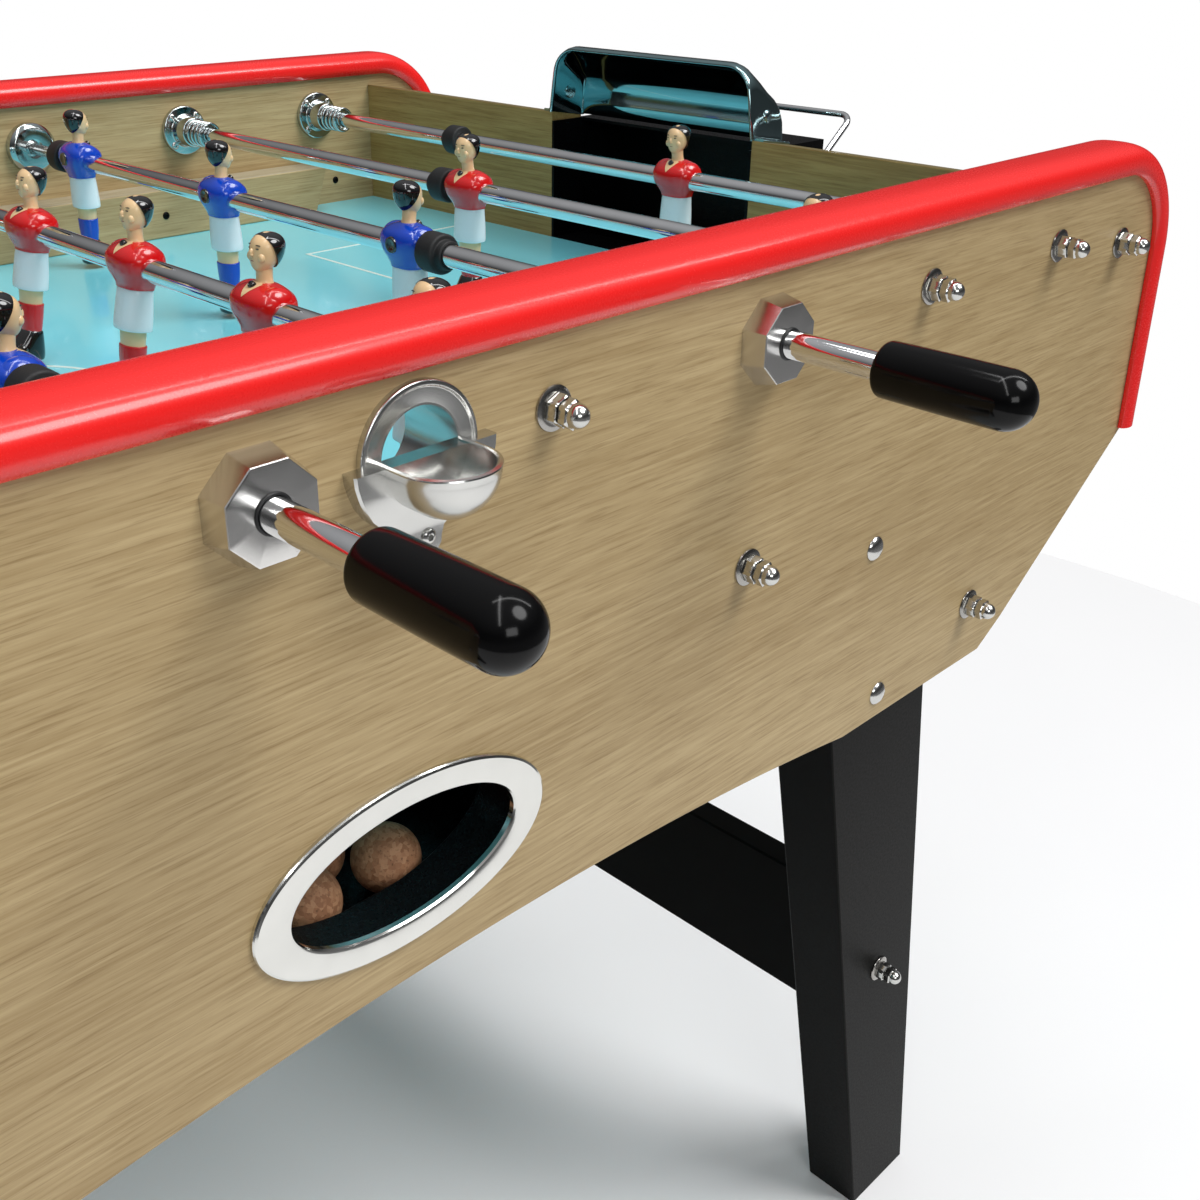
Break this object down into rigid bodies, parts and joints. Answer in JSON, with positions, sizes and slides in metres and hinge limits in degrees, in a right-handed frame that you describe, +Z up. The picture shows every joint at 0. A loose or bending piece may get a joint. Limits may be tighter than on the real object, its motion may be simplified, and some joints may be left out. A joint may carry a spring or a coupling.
{
  "type": "foosball table",
  "caption": "Wooden foosball table on four splayed black legs, with red edge trim, telescopic chrome rods, blue and red figures and chrome goal hoods.",
  "frame": {"origin": "centre of the bounding box at floor level, under the middle of the playing field", "axes": "+X along the table's length towards the red goalkeeper's goal, +Y from the near side with the blue team's grips to the far side, +Z up"},
  "size_m": [1.379, 1.189, 0.938],
  "materials": {
    "oak_laminate": "satin",
    "field_sheet": "polished",
    "ledge_board": "satin",
    "red_trim": "polished",
    "black_plastic": "matte",
    "chrome_plate": "polished",
    "steel": "brushed",
    "cork": "matte",
    "plywood": "matte",
    "black_wood": "satin",
    "bumper_rubber": "matte",
    "blue_enamel": "gloss",
    "red_enamel": "gloss",
    "grip_plastic": "polished"
  },
  "bodies": {
    "cabinet": {"side_panel_near": "oak_laminate", "side_panel_far": "oak_laminate", "side_trims": "red_trim", "end_panels": "oak_laminate", "playfield": "field_sheet", "side_ledges": "ledge_board", "goal_boxes": "black_plastic", "goal_hoods": "chrome_plate", "score_bars": "chrome_plate", "entry_cups": "chrome_plate", "window_rings": "chrome_plate", "ball_troughs": "black_plastic", "balls": "cork", "return_ramps": "plywood", "fixed_rods": "steel", "end_discs": "chrome_plate", "bearing_blocks": "chrome_plate", "bearing_flanges": "chrome_plate", "bearing_bushes": "black_plastic", "fixing_screws": "steel", "rod_springs": "steel", "panel_washers": "chrome_plate", "hex_nuts": "chrome_plate", "acorn_nuts": "chrome_plate", "carriage_bolts": "steel", "tie_bolts": "steel", "legs": "black_wood", "leg_stretchers": "black_wood"},
    "rod1_slider": {"rod1_bumpers": "bumper_rubber"},
    "rod1_spinner": {"rod1_tube": "chrome_plate", "rod1_figures": "blue_enamel", "rod1_grip": "grip_plastic"},
    "rod2_slider": {"rod2_bumpers": "bumper_rubber"},
    "rod2_spinner": {"rod2_tube": "chrome_plate", "rod2_figures": "blue_enamel", "rod2_grip": "grip_plastic"},
    "rod3_slider": {"rod3_bumpers": "bumper_rubber"},
    "rod3_spinner": {"rod3_tube": "chrome_plate", "rod3_figures": "red_enamel", "rod3_grip": "grip_plastic"},
    "rod4_slider": {"rod4_bumpers": "bumper_rubber"},
    "rod4_spinner": {"rod4_tube": "chrome_plate", "rod4_figures": "blue_enamel", "rod4_grip": "grip_plastic"},
    "rod5_slider": {"rod5_bumpers": "bumper_rubber"},
    "rod5_spinner": {"rod5_tube": "chrome_plate", "rod5_figures": "red_enamel", "rod5_grip": "grip_plastic"},
    "rod6_slider": {"rod6_bumpers": "bumper_rubber"},
    "rod6_spinner": {"rod6_tube": "chrome_plate", "rod6_figures": "blue_enamel", "rod6_grip": "grip_plastic"},
    "rod7_slider": {"rod7_bumpers": "bumper_rubber"},
    "rod7_spinner": {"rod7_tube": "chrome_plate", "rod7_figures": "red_enamel", "rod7_grip": "grip_plastic"},
    "rod8_slider": {"rod8_bumpers": "bumper_rubber"},
    "rod8_spinner": {"rod8_tube": "chrome_plate", "rod8_figures": "red_enamel", "rod8_grip": "grip_plastic"}
  },
  "joints": [
    {"name": "rod1_slide", "type": "slide", "parent": "cabinet", "child": "rod1_slider", "axis": [0, 1, 0], "range_m": [-0.0704, 0.0885]},
    {"name": "rod1_spin", "type": "hinge", "parent": "rod1_slider", "child": "rod1_spinner", "pos_m": [-0.525, 0, 0.858], "axis": [0, 1, 0], "continuous": true},
    {"name": "rod2_slide", "type": "slide", "parent": "cabinet", "child": "rod2_slider", "axis": [0, 1, 0], "range_m": [-0.258, 0.056]},
    {"name": "rod2_spin", "type": "hinge", "parent": "rod2_slider", "child": "rod2_spinner", "pos_m": [-0.375, 0, 0.858], "axis": [0, 1, 0], "continuous": true},
    {"name": "rod3_slide", "type": "slide", "parent": "cabinet", "child": "rod3_slider", "axis": [0, 1, 0], "range_m": [-0.08, 0.148]},
    {"name": "rod3_spin", "type": "hinge", "parent": "rod3_slider", "child": "rod3_spinner", "pos_m": [-0.225, 0, 0.858], "axis": [0, 1, 0], "continuous": true},
    {"name": "rod4_slide", "type": "slide", "parent": "cabinet", "child": "rod4_slider", "axis": [0, 1, 0], "range_m": [-0.101, 0.023]},
    {"name": "rod4_spin", "type": "hinge", "parent": "rod4_slider", "child": "rod4_spinner", "pos_m": [-0.075, 0, 0.858], "axis": [0, 1, 0], "continuous": true},
    {"name": "rod5_slide", "type": "slide", "parent": "cabinet", "child": "rod5_slider", "axis": [0, 1, 0], "range_m": [-0.004, 0.12]},
    {"name": "rod5_spin", "type": "hinge", "parent": "rod5_slider", "child": "rod5_spinner", "pos_m": [0.075, 0, 0.858], "axis": [0, 1, 0], "continuous": true},
    {"name": "rod6_slide", "type": "slide", "parent": "cabinet", "child": "rod6_slider", "axis": [0, 1, 0], "range_m": [-0.188, 0.04]},
    {"name": "rod6_spin", "type": "hinge", "parent": "rod6_slider", "child": "rod6_spinner", "pos_m": [0.225, 0, 0.858], "axis": [0, 1, 0], "continuous": true},
    {"name": "rod7_slide", "type": "slide", "parent": "cabinet", "child": "rod7_slider", "axis": [0, 1, 0], "range_m": [-0.0005, 0.3135]},
    {"name": "rod7_spin", "type": "hinge", "parent": "rod7_slider", "child": "rod7_spinner", "pos_m": [0.375, 0, 0.858], "axis": [0, 1, 0], "continuous": true},
    {"name": "rod8_slide", "type": "slide", "parent": "cabinet", "child": "rod8_slider", "axis": [0, 1, 0], "range_m": [-0.004, 0.155]},
    {"name": "rod8_spin", "type": "hinge", "parent": "rod8_slider", "child": "rod8_spinner", "pos_m": [0.525, 0, 0.858], "axis": [0, 1, 0], "continuous": true}
  ]
}
